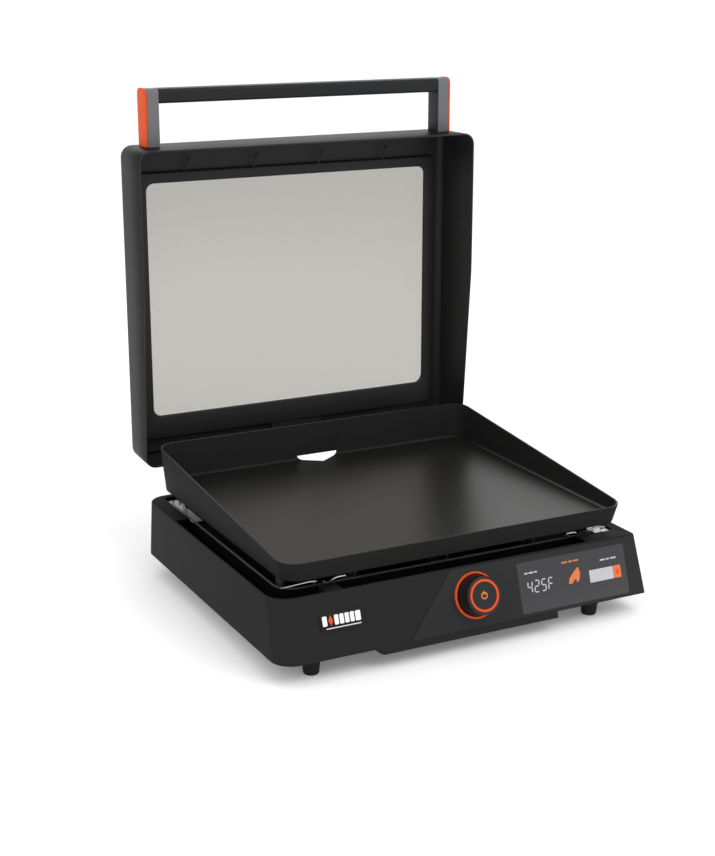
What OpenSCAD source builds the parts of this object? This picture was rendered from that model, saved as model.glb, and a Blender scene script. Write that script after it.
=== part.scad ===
// Electric griddle with a hinged window hood.
// Origin: centre of the whole footprint, on the table. X to the right, Y to the rear, Z up. Millimetres.
// The rest pose has the hood open and standing upright behind the cooking plate.
// Each sub-part is drawn from the centre of the base, and place() moves it to the origin.

/* [Base] */
// Width of the base along its bottom edge
body_w = 529; // [515:1:545]
// Distance of the front bottom edge from the centre
body_front = 228.5; // [222:0.5:236]
// Distance of the rear wall from the centre
body_rear = 229; // [226:1:236]
// Height of the bottom edge above the plane that the heights are counted from
body_z = 24.6; // [20:0.1:30]
// Height of the base wall
body_h = 75.4; // [72:0.1:82]
// How far the left wall leans in at the top
left_draft = 4; // [0:1:9]
// How far the right wall leans in at the top
right_draft = 4; // [4:1:9]
// How far the front panel leans back at the top
front_set = 25.5; // [20:0.5:30]
// How far the feet reach below the plane that the heights are counted from
foot_drop = 2.6; // [0:0.2:8]
// Wall thickness of the base
wall = 2.5; // [2:0.5:3.5]

/* [Cooking plate] */
// Width of the plate over its rim
plate_w = 493; // [480:1:500]
// Distance of the front rim from the centre
plate_front = 205; // [200:1:207]
// Distance of the rear rim from the centre
plate_rear = 223; // [218:1:224]
// Height of the plate's underside
plate_z = 123; // [120:1:126]
// Height of the rear rim
plate_rim_rear = 178; // [165:1:180]
// Height of the skirt's lower edge
skirt_z = 117; // [106:1:120]
// Height of the front rim
plate_rim_front = 142; // [138:1:150]
// Thickness of the cast floor
plate_t = 4; // [3:0.5:5]
// Half width of the drain notch
drain_half = 36; // [28:1:40]

/* [Hood] */
// Width of the hood at its rim
hood_w = 514; // [508:1:520]
// Height of the hood's top when open
hood_top = 583; // [575:1:590]
// Height of the hood's hinge end when open
hood_low = 140; // [138:1:144]
// Distance of the hood's outer face from the centre when open
hood_back = 303; // [300:1:306]
// Depth of the hood walls at the handle end
hood_deep = 89; // [80:1:90]
// Depth of the hood walls at the hinge end
hood_shallow = 70; // [60:1:74]
// Sheet thickness of the hood
sheet = 1.6; // [1.2:0.2:2]
// Width of the visible window
window_w = 440; // [420:1:444]
// Height of the visible window
window_h = 333; // [320:1:340]
// Overall width of the handle
handle_w = 469; // [440:1:480]
// Height of the handle above the hood's front wall
handle_reach = 77; // [70:1:80]

/* [Controls] */
// Place of the knob from the centre line
knob_x = 9.5; // [0:0.5:30]
// Diameter of the knob
knob_d = 49; // [44:1:54]
// How far the knob stands out from the panel
knob_out = 21.5; // [18:0.5:28]
// Travel of the knob when pressed
knob_press = 1.5; // [1:0.1:2]

/* [Hidden] */
$fn = 48;
eps = 0.02;
// base
half_low = body_w / 2;
half_top = half_low - right_draft;
body_top = body_z + body_h;
panel_tilt = atan(front_set / body_h);
panel_len = body_h / cos(panel_tilt);
corner_r = 28;
sharp_r = 3;
ledge_z = 88;
ledge_t = 2.5;
tray_half = 233;
tray_front = 166;
tray_rear = 214;
tray_z = 78;
tray_top = 96;
tray_r = 24;
well_r = 6;
deck_t = 3;
rear_notch = 34;
chin = 8;
chin_half = 126;
// cooking plate
plate_half = plate_w / 2;
plate_r = 26;
flare = 5;
rim_t = 3.2;
skirt_inset = flare + 3.5;
skirt_in = plate_half - skirt_inset;
drain_tip = 194;
drain_z = 137;
// hood
half_hood = hood_w / 2;
hood_draft = 3;
hood_r = 16;
rim_y = hood_back - hood_deep;
rim_low_y = hood_back - hood_shallow;
kink_z = hood_top - 201;
window_z = 362.5;
window_r = 12;
glass_t = 4;
gasket_t = 1;
glass_margin = 9;
retainer_half = 236;
retainer_low = 163;
retainer_top = 543;
retainer_t = 1.4;
hook_x0 = -162;
hook_step = 103;
hook_h = 25;
// hinge: the axis is set by where the closed hood's front and rim must land
closed_front = 215;
rim_gap = 4.5;
axis_sum = hood_top - closed_front;
axis_diff = body_top + rim_gap - rim_y;
hinge_y = (axis_sum - axis_diff) / 2;
hinge_z = (axis_sum + axis_diff) / 2;
hinge_x = 120;
barrel_r = 5;
pin_d = 5;
leaf_w = 22;
lug_w = 9;
lug_gap = 0.6;
leaf_t = 2;
bracket_t = 3;
// handle
post_w = 17;
cap_t = 3;
handle_y0 = 247;
handle_d = 30;
bar_h = 19.5;
handle_top = hood_top + handle_reach;
post_x = handle_w / 2 - cap_t - post_w / 2;
// plate supports and centring clips
support_x = 222;
support_d = 12;
support_y = [-140, 185];
clip_y = [-158, 176];
clip_wire = 2.4;
// panel
knob_v = 41.5;
ring_r = 29.6;
ring_w = 3;
ring_h = 1.2;
fascia_t = 2.2;
lens_x0 = 74;
lens_x1 = 239;
lens_v0 = 5;
lens_v1 = 70;
lens_t = 1.2;
badge_v = 34.5;
shaft_d = 6;
bush_d = 9;
boss_d = 30;
face_ring_r = 20.4;
face_ring_w = 3;
// feet and fasteners
foot_xs = [-209, 197];
foot_front = -197;
foot_rear = 195;
foot_d = 25;
foot_tip_d = 20;
screw_d = 4;
screw_head = 7;
cover_t = 1;
inlet_x = -192;
probe_x = 30;
probe_y = -25;
// heating
element_d = 8;
element_z = 114;
loop_step = 50;
// grease cup
cup_half = 40;
cup_y0 = 236;
cup_y1 = 300;
cup_z0 = 44;
cup_z1 = 86;
cup_wall = 1.5;
cup_lip = 8;
rail_t = 1.5;
// footprint: from the knob's front edge to the grease cup's lip
knob_edge = 2.5;
knob_base = fascia_t + knob_press + 1;
knob_face = knob_base + knob_out - 1.5;
knob_reach = body_front - (knob_v - knob_d / 2 + knob_edge) * sin(panel_tilt) + knob_face * cos(panel_tilt);
centre_y = (cup_y1 + cup_lip - knob_reach) / 2;

// ---- shared shapes ----

// Moves a sub-part from the centre of the base to the origin of the whole footprint
module place() {
    translate([0, -centre_y, foot_drop]) children();
}

// Flat rounded rectangle with true arcs at its corners
module round_rect(x0, x1, y0, y1, r) {
    translate([x0 + r, y0]) square([x1 - x0 - 2 * r, y1 - y0]);
    translate([x0, y0 + r]) square([x1 - x0, y1 - y0 - 2 * r]);
    for (x = [x0 + r, x1 - r], y = [y0 + r, y1 - r])
        translate([x, y]) circle(r);
}

module slab(x0, x1, y0, y1, r, z, t) {
    translate([0, 0, z]) linear_extrude(t) round_rect(x0, x1, y0, y1, r);
}

// Flat rounded rectangular ring
module frame_slab(x0, x1, y0, y1, r, width, z, t) {
    translate([0, 0, z]) linear_extrude(t) difference() {
        round_rect(x0, x1, y0, y1, r);
        round_rect(x0 + width, x1 - width, y0 + width, y1 - width, max(r - width, 0.5));
    }
}

// Thin level outline of the base at height z, drawn in by d on every side
module base_outline(z, d) {
    s = (z - body_z) / body_h;
    left = half_low - left_draft * s - d;
    right = half_low - right_draft * s - d;
    f = body_front - front_set * s - d;
    r = body_rear - d;
    translate([0, 0, z]) linear_extrude(eps) {
        translate([-left + corner_r - d, -f + corner_r - d]) circle(corner_r - d, $fn = 32);
        translate([right - sharp_r, -f + sharp_r]) circle(sharp_r, $fn = 32);
        translate([-left + corner_r - d, r - corner_r + d]) circle(corner_r - d, $fn = 32);
        translate([right - corner_r + d, r - corner_r + d]) circle(corner_r - d, $fn = 32);
    }
}

module base_block(z0, z1, d) {
    hull() {
        base_outline(z0, d);
        base_outline(z1 - eps, d);
    }
}

// Frame of the sloped front panel: X along it, Y up the slope, Z out of it
module on_panel(x = 0, v = 0, out = 0) {
    translate([0, -body_front, body_z]) rotate([90 - panel_tilt, 0, 0])
        translate([x, v, out]) children();
}

// Frame of the upright hood: X across, Y up, Z from its outer face towards the rim
module on_hood(out = 0) {
    translate([0, hood_back, 0]) rotate([90, 0, 0]) translate([0, 0, out]) children();
}

module screw(head_d, head_h, d, length) {
    cylinder(d = head_d, h = head_h);
    translate([0, 0, -length]) cylinder(d = d, h = length + eps);
}

// Profile in the Y-Z plane, extruded along X and centred on x
module side_profile(x, width) {
    translate([x - width / 2, 0, 0]) rotate([90, 0, 90]) linear_extrude(width) children();
}

// ---- base ----

module trough_ledge() {
    difference() {
        intersection() {
            base_block(ledge_z, ledge_z + ledge_t, wall - eps);
            translate([-300, -300, ledge_z]) cube([600, 600, ledge_t]);
        }
        slab(-tray_half - 2, tray_half + 2, -tray_front - 2, tray_rear + 2, tray_r, ledge_z - 1, ledge_t + 2);
    }
}

module base_housing() color([0.19, 0.19, 0.2]) {
    difference() {
        union() {
            difference() {
                base_block(body_z, body_top, 0);
                base_block(body_z - 1, body_top + 1, wall);
            }
            trough_ledge();
        }
        on_panel(knob_x, knob_v, -8) cylinder(d = boss_d, h = 12);
        on_panel(lens_x0 + 8, lens_v0 + 8, -8) cube([lens_x1 - lens_x0 - 16, lens_v1 - lens_v0 - 16, 12]);
        translate([-rear_notch, body_rear - 8, body_top - 14]) cube([2 * rear_notch, 16, 20]);
        for (i = [0:7]) translate([162 + i * 9, body_rear - 8, body_z + 14]) cube([4, 16, 34]);
        translate([inlet_x - 17, body_rear - 8, body_z + 12]) cube([34, 16, 26]);
        for (side = [-1, 1], z = [70, 88])
            translate([side * hinge_x, body_rear + 1, z]) rotate([90, 0, 0]) cylinder(d = screw_d, h = 8);
    }
}

// Solid corners and tab that close the trough at three places
module corner_deck() color([0.21, 0.21, 0.22]) {
    z0 = body_top - deck_t;
    difference() {
        intersection() {
            base_block(z0 - 8, body_top - 0.3, wall + 0.15);
            union() {
                translate([186, -230, z0]) cube([80, 84, 20]);
                translate([-270, 120, z0]) cube([60, 120, 20]);
                translate([-189, -230, z0]) cube([21, 60, 20]);
                translate([230, -146, z0]) cube([40, 390, 20]);
                translate([-230, 214, z0]) cube([190, 30, 20]);
                translate([40, 214, z0]) cube([200, 30, 20]);
            }
        }
        slab(-tray_half - 5, tray_half + 12, -tray_front - 12, tray_rear + 2, well_r, z0 - 10, 30);
    }
}

module bottom_cover() color([0.25, 0.25, 0.26]) {
    in = wall + 0.4;
    difference() {
        intersection() {
            base_block(body_z, body_z + 12, in);
            translate([-300, -300, body_z + 1]) cube([600, 600, cover_t]);
        }
        for (x = foot_xs, y = [foot_front, foot_rear])
            translate([x, y, 0]) cylinder(d = screw_d, h = 60);
        for (i = [-4:4]) translate([i * 14 - 2.5, -40, 0]) cube([5, 90, 60]);
        for (x = [-240, 0, 240]) translate([x, 0, 0]) cylinder(d = 3.2, h = 60);
    }
}

module foot(x, y) color([0.1, 0.1, 0.1]) {
    translate([x, y, -foot_drop]) difference() {
        union() {
            cylinder(d1 = foot_tip_d - 2, d2 = foot_tip_d, h = 2);
            translate([0, 0, 2 - eps]) cylinder(d1 = foot_tip_d, d2 = foot_d, h = body_z + foot_drop - 1);
        }
        translate([0, 0, 12]) cylinder(d = screw_d, h = 30);
        translate([0, 0, -1]) cylinder(d = screw_head + 1, h = 13);
    }
}

module foot_screws() color([0.75, 0.75, 0.76]) {
    for (x = foot_xs, y = [foot_front, foot_rear])
        translate([x, y, 11.8 - foot_drop]) rotate([180, 0, 0]) screw(screw_head, 3, screw_d, 24);
}

module cover_screws() color([0.75, 0.75, 0.76]) {
    for (x = [-240, 0, 240])
        translate([x, 0, body_z + 1]) rotate([180, 0, 0]) screw(6, 2, 3, 9);
}

// ---- control panel ----

module fascia_outline() {
    polygon([
        [-20, panel_len - 2], [-90, 0], [-chin_half, 0], [-chin_half, -chin], [chin_half, -chin],
        [chin_half, 0], [half_low - 4, 0], [half_top - 3, panel_len - 2]
    ]);
}

module control_fascia() color([0.24, 0.24, 0.245]) {
    on_panel() difference() {
        translate([0, 0, 0.1]) linear_extrude(fascia_t) fascia_outline();
        translate([lens_x0, lens_v0, fascia_t - lens_t + 0.1])
            cube([lens_x1 - lens_x0, lens_v1 - lens_v0, 5]);
        translate([lens_x0 + 8, lens_v0 + 8, -1]) cube([lens_x1 - lens_x0 - 16, lens_v1 - lens_v0 - 16, 5]);
        translate([knob_x, knob_v, -1]) cylinder(d = bush_d + 0.6, h = 8);
    }
}

module display_lens() color([0.13, 0.13, 0.14]) {
    on_panel(0, 0, fascia_t - lens_t + 0.15)
        translate([lens_x0 + 0.1, lens_v0 + 0.1, 0])
            cube([lens_x1 - lens_x0 - 0.2, lens_v1 - lens_v0 - 0.2, lens_t + 0.1]);
}

module display_module() color([0.1, 0.28, 0.16]) {
    on_panel(0, 0, -5) {
        translate([lens_x0 + 10, lens_v0 + 10, 0])
            cube([lens_x1 - lens_x0 - 20, lens_v1 - lens_v0 - 20, 1.6]);
        translate([lens_x0 + 12, lens_v0 + 14, 1.6 - eps]) cube([44, 30, 3.6]);
        translate([lens_x0 + 70, lens_v0 + 20, 1.6 - eps]) cube([28, 22, 3.6]);
        translate([lens_x0 + 106, lens_v0 + 20, 1.6 - eps]) cube([46, 18, 3.6]);
    }
}

module control_board() color([0.12, 0.33, 0.18]) {
    on_panel(0, 0, -24) {
        translate([-45, 16, 0]) cube([112, 46, 1.6]);
        translate([-36, 20, 1.6 - eps]) cube([16, 12, 2.5]);
        translate([-36, 44, 1.6 - eps]) cube([10, 10, 4]);
        translate([44, 20, 1.6 - eps]) cube([12, 30, 6]);
    }
}

module encoder_body() color([0.6, 0.6, 0.62]) {
    on_panel(knob_x, knob_v, -22.4) difference() {
        union() {
            translate([-7, -7, 0]) cube([14, 14, 10]);
            cylinder(d = bush_d, h = 25);
        }
        translate([0, 0, -1]) cylinder(d = shaft_d + 0.4, h = 30);
    }
}

module encoder_plunger() color([0.85, 0.83, 0.78]) {
    on_panel(knob_x, knob_v, -18.6) cylinder(d = shaft_d, h = 1.5);
}

module encoder_shaft() color([0.7, 0.7, 0.72]) {
    on_panel(knob_x, knob_v, -17) cylinder(d = shaft_d, h = 37);
}

module knob() color([0.12, 0.12, 0.125]) {
    on_panel(knob_x, knob_v, knob_base) difference() {
        union() {
            cylinder(d1 = knob_d + 2, d2 = knob_d, h = knob_out - 4);
            translate([0, 0, knob_out - 4 - eps])
                cylinder(d1 = knob_d, d2 = knob_d - 2 * knob_edge, h = 2.5 + eps);
        }
        translate([0, 0, -1]) cylinder(d = shaft_d, h = 18);
        translate([0, 0, -1]) cylinder(d = bush_d + 2, h = 6);
        translate([0, 0, knob_out - 2.5]) difference() {
            cylinder(r = face_ring_r + 0.1, h = 3);
            translate([0, 0, -1]) cylinder(r = face_ring_r - face_ring_w - 0.1, h = 5);
        }
        translate([0, 0, -1]) difference() {
            cylinder(d = knob_d - 8, h = 15);
            cylinder(d = 16, h = 15);
        }
    }
}

module knob_face_ring() color([0.95, 0.42, 0.16]) {
    on_panel(knob_x, knob_v, knob_face - 0.9) difference() {
        cylinder(r = face_ring_r, h = 1.2);
        translate([0, 0, -1]) cylinder(r = face_ring_r - face_ring_w, h = 4);
    }
}

module dial_light_ring() color([0.92, 0.38, 0.15]) {
    on_panel(knob_x, knob_v, fascia_t + 0.1) difference() {
        cylinder(r = ring_r, h = ring_h);
        translate([0, 0, -1]) cylinder(r = ring_r - ring_w, h = 4);
    }
}

module badge() color([0.88, 0.88, 0.88]) {
    on_panel(0, 0, 0.1) linear_extrude(1.4) round_rect(-205, -146, badge_v, badge_v + 20, 3);
}

// ---- heating ----

module reflector_tray() color([0.82, 0.82, 0.83]) {
    difference() {
        slab(-tray_half, tray_half, -tray_front, tray_rear, tray_r, tray_z, tray_top - tray_z);
        slab(-tray_half + 1, tray_half - 1, -tray_front + 1, tray_rear - 1, tray_r - 1,
            tray_z + 1, tray_top - tray_z);
        translate([-rear_notch, tray_rear - 6, tray_z + 8]) cube([2 * rear_notch, 12, 30]);
        translate([probe_x, probe_y, tray_z - 1]) cylinder(d = 12, h = 4);
    }
}

// Bright guard plates that show beside the plate at two opposite corners
module corner_shields() color([0.86, 0.86, 0.87]) {
    z = tray_top + 0.2;
    difference() {
        union() {
            translate([tray_half - 12, -tray_front - 11, z]) cube([23, 78, 1]);
            translate([-tray_half - 4, 112, z]) cube([15, 96, 1]);
        }
        for (side = [-1, 1], y = support_y) translate([side * support_x, y, z - 1])
            cylinder(d = support_d + 1, h = 3);
        for (side = [-1, 1], y = clip_y) translate([side * support_x, y, z - 1])
            cylinder(d = clip_wire + 1, h = 3);
    }
}

// Hairpin loops of sheathed heating tube in one level plane
module heating_element() color([0.3, 0.3, 0.31]) {
    x_end = 185;
    rows = 7;
    for (i = [0:rows - 1])
        translate([-x_end, -150 + i * loop_step, element_z]) rotate([0, 90, 0])
            cylinder(d = element_d, h = 2 * x_end);
    for (i = [0:rows - 2]) {
        side = i % 2 == 0 ? 1 : -1;
        translate([side * x_end, -150 + (i + 0.5) * loop_step, element_z])
            rotate([0, 0, side * 90 + 180]) rotate_extrude(angle = 180)
                translate([loop_step / 2, 0]) circle(d = element_d);
    }
}

module element_brackets() color([0.78, 0.78, 0.79]) {
    for (x = [-130, 0, 130])
        difference() {
            translate([x - 1, -162, tray_z + 1]) cube([2, 324, element_z - tray_z + 5]);
            for (i = [0:6]) translate([x - 5, -150 + i * loop_step, element_z]) rotate([0, 90, 0])
                cylinder(d = element_d + 0.4, h = 10);
            for (i = [0:5]) translate([x - 5, -143 + i * loop_step, tray_z + 12]) cube([10, 36, 40]);
        }
}

module element_terminals() color([0.9, 0.88, 0.8]) {
    for (y = [-150, 150]) {
        end = y < 0 ? -1 : 1;
        translate([end * 185, y, element_z]) rotate([0, end * 90, 0]) cylinder(d = 12, h = 16);
        translate([end * 200, y, element_z]) rotate([0, end * 90, 0]) cylinder(d = 3, h = 10);
    }
}

module plate_supports() color([0.35, 0.35, 0.36]) {
    for (side = [-1, 1], y = support_y)
        translate([side * support_x, y, tray_z + 1]) cylinder(d = support_d, h = plate_z - tray_z - 1);
}

// Bent wire clips that centre the plate
module spring_clips() color([0.8, 0.8, 0.81]) {
    for (side = [-1, 1], y = clip_y) {
        translate([side * support_x, y, tray_z + 1]) cylinder(d = clip_wire, h = 34, $fn = 24);
        translate([side * support_x, y, tray_z + 35]) sphere(d = clip_wire, $fn = 24);
        translate([side * support_x, y, tray_z + 35]) rotate([0, -side * 90, 0])
            cylinder(d = clip_wire, h = 26, $fn = 24);
    }
}

module temperature_probe() color([0.8, 0.72, 0.5]) {
    translate([probe_x, probe_y, tray_z - 8]) cylinder(d = 6, h = 30);
    translate([probe_x, probe_y, tray_z + 22 - eps]) cylinder(d = 10, h = plate_z - tray_z - 22.2);
}

module thermal_cutout() color([0.92, 0.9, 0.84]) {
    translate([60, 150, tray_z - 14]) cylinder(d = 16, h = 13.8);
    for (x = [54, 66]) translate([x - 1, 148, tray_z - 22]) cube([2, 4, 9]);
}

// ---- cooking plate ----

// Solid of the pan before its rim is cut to the slope, drawn in by d
module pan_block(z0, z1, d) {
    low = flare;
    hull() {
        slab(-plate_half + low + d, plate_half - low - d, -plate_front + low + d, plate_rear - low - d,
            plate_r - d, z0, eps, $fn = 32);
        slab(-plate_half + d, plate_half - d, -plate_front + d, plate_rear - d,
            plate_r - d, z1 - eps, eps, $fn = 32);
    }
}

module griddle_plate() color([0.12, 0.12, 0.12]) {
    drop = plate_rim_rear - plate_rim_front;
    difference() {
        pan_block(skirt_z, plate_rim_rear, 0);
        slab(-skirt_in, skirt_in, -plate_front + skirt_inset, plate_rear - skirt_inset, plate_r - rim_t,
            skirt_z - 1, plate_z - skirt_z + 1);
        pan_block(plate_z + plate_t, plate_rim_rear + 1, rim_t);
        side_profile(0, plate_w + 60) polygon([
            [-plate_front - 20, plate_rim_front], [-plate_front + 12, plate_rim_front],
            [plate_rear - 16, plate_rim_rear - 0.01], [plate_rear - 16, plate_rim_rear + 20],
            [-plate_front - 20, plate_rim_rear + drop]
        ]);
        translate([0, 0, skirt_z - 1]) linear_extrude(drain_z - skirt_z + 1) polygon([
            [0, drain_tip], [drain_half, plate_rear - 4], [drain_half, plate_rear + 10],
            [-drain_half, plate_rear + 10], [-drain_half, plate_rear - 4]
        ]);
    }
}

// ---- power ----

module power_board() color([0.14, 0.36, 0.2]) {
    translate([-190, 90, body_z + 10]) {
        cube([120, 80, 1.6]);
        translate([10, 10, 1.6 - eps]) cube([28, 12, 16]);
        translate([50, 14, 1.6 - eps]) cube([20, 24, 14]);
        translate([88, 16, 1.6 - eps]) cylinder(d = 16, h = 22);
        translate([20, 50, 1.6 - eps]) cube([60, 4, 24]);
    }
    for (x = [-184, -76], y = [96, 164])
        translate([x, y, body_z + 1 + cover_t]) cylinder(d = 6, h = 8 - eps);
}

module power_inlet() color([0.08, 0.08, 0.08]) {
    difference() {
        union() {
            translate([inlet_x - 23, body_rear, body_z + 6]) cube([46, 3, 38]);
            translate([inlet_x - 16.8, body_rear - 24, body_z + 12.2]) cube([33.6, 24 + eps, 25.6]);
        }
        translate([inlet_x - 12, body_rear - 18, body_z + 16]) cube([24, 30, 18]);
    }
    for (x = [-6, 0, 6])
        translate([inlet_x + x - 1, body_rear - 19, body_z + 23]) cube([2, 14, 4]);
}

// ---- grease drain ----

module grease_chute() color([0.6, 0.6, 0.61]) {
    side_profile(0, 2 * rear_notch - 4) polygon([[190, 101], [190, 99.5], [248, 90.5], [248, 92]]);
    for (side = [-1, 1])
        side_profile(side * (rear_notch - 2.5), 1.2)
            polygon([[190, 100], [248, 91], [248, 96], [190, 105]]);
}

module grease_cup() color([0.72, 0.72, 0.73]) {
    difference() {
        union() {
            translate([-cup_half, cup_y0, cup_z0]) cube([2 * cup_half, cup_y1 - cup_y0, cup_z1 - cup_z0]);
            translate([-cup_half - 5, cup_y0, cup_z1 - 2])
                cube([2 * cup_half + 10, cup_y1 - cup_y0 + cup_lip, 2]);
        }
        translate([-cup_half + cup_wall, cup_y0 + cup_wall, cup_z0 + cup_wall])
            cube([2 * (cup_half - cup_wall), cup_y1 - cup_y0 - 2 * cup_wall, 60]);
    }
}

// Pair of angle rails that the cup's lip slides along
module cup_rails() color([0.4, 0.4, 0.41]) {
    for (side = [-1, 1]) {
        translate([side * (cup_half + 7.5) - 1, body_rear, cup_z1 - 14]) cube([2, 64, 16]);
        translate([side * (cup_half + 4) - 3, body_rear, cup_z1 - 4.5]) cube([6, 64, rail_t]);
        translate([side * (cup_half + 12) - 6, body_rear, cup_z1 - 14]) cube([12, 2, 16]);
    }
}

// ---- hinges ----

module hinge_bracket(side) color([0.16, 0.16, 0.165]) {
    x = side * hinge_x;
    y0 = body_rear + 0.1;
    difference() {
        union() {
            side_profile(x, leaf_w + 2 * (lug_w + lug_gap)) polygon([
                [y0, 58], [y0 + bracket_t, 58], [y0 + bracket_t, 110], [y0 + bracket_t, 116],
                [y0, 116]
            ]);
            for (e = [-1, 1])
                side_profile(x + e * (leaf_w / 2 + lug_gap + lug_w / 2), lug_w) {
                    translate([hinge_y, hinge_z]) circle(barrel_r);
                    polygon([
                        [y0, 112], [y0 + bracket_t, 100], [hinge_y + barrel_r, hinge_z - 2],
                        [hinge_y, hinge_z], [hinge_y - barrel_r + 0.2, hinge_z - 1]
                    ]);
                }
        }
        side_profile(x, 80) translate([hinge_y, hinge_z]) circle(d = pin_d);
        for (z = [70, 88]) translate([x, y0 + 10, z]) rotate([90, 0, 0]) cylinder(d = screw_d, h = 20);
    }
}

module hinge_pin(side) color([0.75, 0.75, 0.76]) {
    length = leaf_w + 2 * (lug_w + lug_gap) + 3;
    translate([side * hinge_x - length / 2, hinge_y, hinge_z]) rotate([0, 90, 0])
        cylinder(d = pin_d, h = length);
}

module hinge_leaf(side) color([0.16, 0.16, 0.165]) {
    x = side * hinge_x;
    z1 = hood_low - 0.1;
    difference() {
        union() {
            side_profile(x, leaf_w) {
                translate([hinge_y, hinge_z]) circle(barrel_r);
                polygon([
                    [hinge_y - 2, hinge_z], [hinge_y + barrel_r, hinge_z], [hinge_y + barrel_r, z1 - leaf_t],
                    [hood_back - 14, z1 - leaf_t], [hood_back - 14, z1], [hinge_y - 2, z1]
                ]);
            }
            translate([x - 24, 256, z1 - leaf_t]) cube([48, 30, leaf_t]);
        }
        side_profile(x, 80) translate([hinge_y, hinge_z]) circle(d = pin_d + 0.4);
        for (e = [-1, 1]) translate([x + e * 17, 271, z1 - 10]) cylinder(d = screw_d, h = 20);
    }
}

module bracket_screws() color([0.7, 0.7, 0.71]) {
    for (side = [-1, 1], z = [70, 88])
        translate([side * hinge_x, body_rear + 0.1 + bracket_t, z]) rotate([-90, 0, 0])
            screw(screw_head, 2.4, screw_d, 10);
}

module leaf_screws() color([0.7, 0.7, 0.71]) {
    for (side = [-1, 1], e = [-1, 1])
        translate([side * hinge_x + e * 17, 271, hood_low - 0.1 - leaf_t]) rotate([180, 0, 0])
            screw(screw_head, 2.2, screw_d, 8);
}

// ---- hood ----

// Convex body of the hood drawn in by d, with a softened edge round its outer face
module hood_block(d, depth) {
    edge = [[0, 9], [2.6, 2.6], [9, 0]];
    on_hood() hull() {
        for (e = edge)
            slab(-half_hood + hood_draft + e[1] + d, half_hood - hood_draft - e[1] - d,
                hood_low + e[1] + d, hood_top - e[1] - d, hood_r - d, e[0] + d, eps, $fn = 32);
        slab(-half_hood + d, half_hood - d, hood_low + d, hood_top - d,
            hood_r - d, depth - eps, eps, $fn = 32);
    }
}

module window_hole(grow, z0, t) {
    on_hood() slab(-window_w / 2 - grow, window_w / 2 + grow, window_z - window_h / 2 - grow,
        window_z + window_h / 2 + grow, window_r + grow, z0, t);
}

module hood_shell() color([0.16, 0.16, 0.165]) {
    difference() {
        hood_block(0, hood_deep);
        hood_block(sheet, hood_deep + 1);
        window_hole(2, -1, 6);
        side_profile(0, hood_w + 60) polygon([
            [rim_y - 5, kink_z], [rim_y, kink_z], [rim_low_y, hood_low - 5], [rim_y - 5, hood_low - 5]
        ]);
        for (side = [-1, 1], y = [256, 268])
            translate([side * post_x, y, hood_top - 6]) cylinder(d = 5, h = 12);
        for (side = [-1, 1], e = [-1, 1])
            translate([side * hinge_x + e * 17, 271, hood_low - 4]) cylinder(d = screw_d, h = 12);
        for (x = [-232, 232], z = [200, 362, 525])
            translate([x, hood_back + 1, z]) rotate([90, 0, 0]) cylinder(d = 3, h = 6);
    }
}

module window_gasket() color([0.07, 0.07, 0.07]) {
    difference() {
        window_hole(glass_margin - 1, sheet + 0.05, gasket_t);
        window_hole(2, 0, 8);
    }
}

module window_glass() color([0.75, 0.74, 0.72, 0.5]) {
    window_hole(glass_margin - 1, sheet + gasket_t + 0.1, glass_t);
}

// Inner sheet frame that clamps the glass, dished so that its rim meets the hood panel
module window_retainer() color([0.17, 0.17, 0.175]) {
    z_in = sheet + gasket_t + glass_t + 0.15;
    in = 2 * retainer_t;
    difference() {
        on_hood() union() {
            slab(-retainer_half, retainer_half, retainer_low, retainer_top, 8, z_in, retainer_t);
            frame_slab(-retainer_half, retainer_half, retainer_low, retainer_top, 8, retainer_t,
                sheet + 0.05, z_in - sheet);
            for (i = [0:3])
                translate([hook_x0 + i * hook_step, retainer_top - 3, z_in]) cube([2, hook_h, 4.5]);
        }
        window_hole(0, z_in - 2, retainer_t + 4);
        for (x = [-232, 232], z = [200, 362, 525])
            translate([x, hood_back, z]) rotate([90, 0, 0]) cylinder(d = 3, h = 20);
    }
}

module retainer_screws() color([0.6, 0.6, 0.61]) {
    for (x = [-232, 232], z = [200, 362, 525])
        translate([x, hood_back - sheet - gasket_t - glass_t - retainer_t - 0.2, z]) rotate([90, 0, 0])
            screw(5.5, 1.8, 3, 7);
}

// Stiffening strip along the hinge end, with a centre block that bridges to the window frame
module hood_end_rail() color([0.14, 0.14, 0.145]) {
    on_hood() {
        slab(-234, 234, hood_low + 6, retainer_low - 8, 3, 5, 7);
        translate([-38, retainer_low - 11, sheet + 0.1]) cube([84, 10.5, 10]);
    }
}

module hood_bumpers() color([0.06, 0.06, 0.06]) {
    for (side = [-1, 1])
        translate([side * (half_hood - sheet - 4.2), rim_y + 2, hood_top - 60]) rotate([90, 0, 0])
            cylinder(d = 4, h = 3);
}

// ---- handle ----

module handle_bar() color([0.17, 0.17, 0.175]) {
    inner = post_x - post_w / 2 - 0.1;
    translate([-inner, 0, 0]) rotate([90, 0, 90]) linear_extrude(2 * inner) difference() {
        round_rect(handle_y0 + 1, handle_y0 + handle_d - 1, handle_top - bar_h, handle_top, 4);
        round_rect(handle_y0 + 3, handle_y0 + handle_d - 3, handle_top - bar_h + 2, handle_top - 2, 2);
    }
}

module handle_post(side) color([0.45, 0.45, 0.46]) {
    difference() {
        side_profile(side * post_x, post_w)
            round_rect(handle_y0, handle_y0 + handle_d, hood_top + 0.1, handle_top, 4);
        for (y = [256, 268]) translate([side * post_x, y, hood_top - 1]) cylinder(d = 4, h = 24);
    }
}

module handle_cap(side) color([0.95, 0.36, 0.14]) {
    side_profile(side * (post_x + post_w / 2 + cap_t / 2 + 0.05), cap_t)
        round_rect(handle_y0, handle_y0 + handle_d, hood_top + 0.1, handle_top + 1, 7);
}

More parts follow.
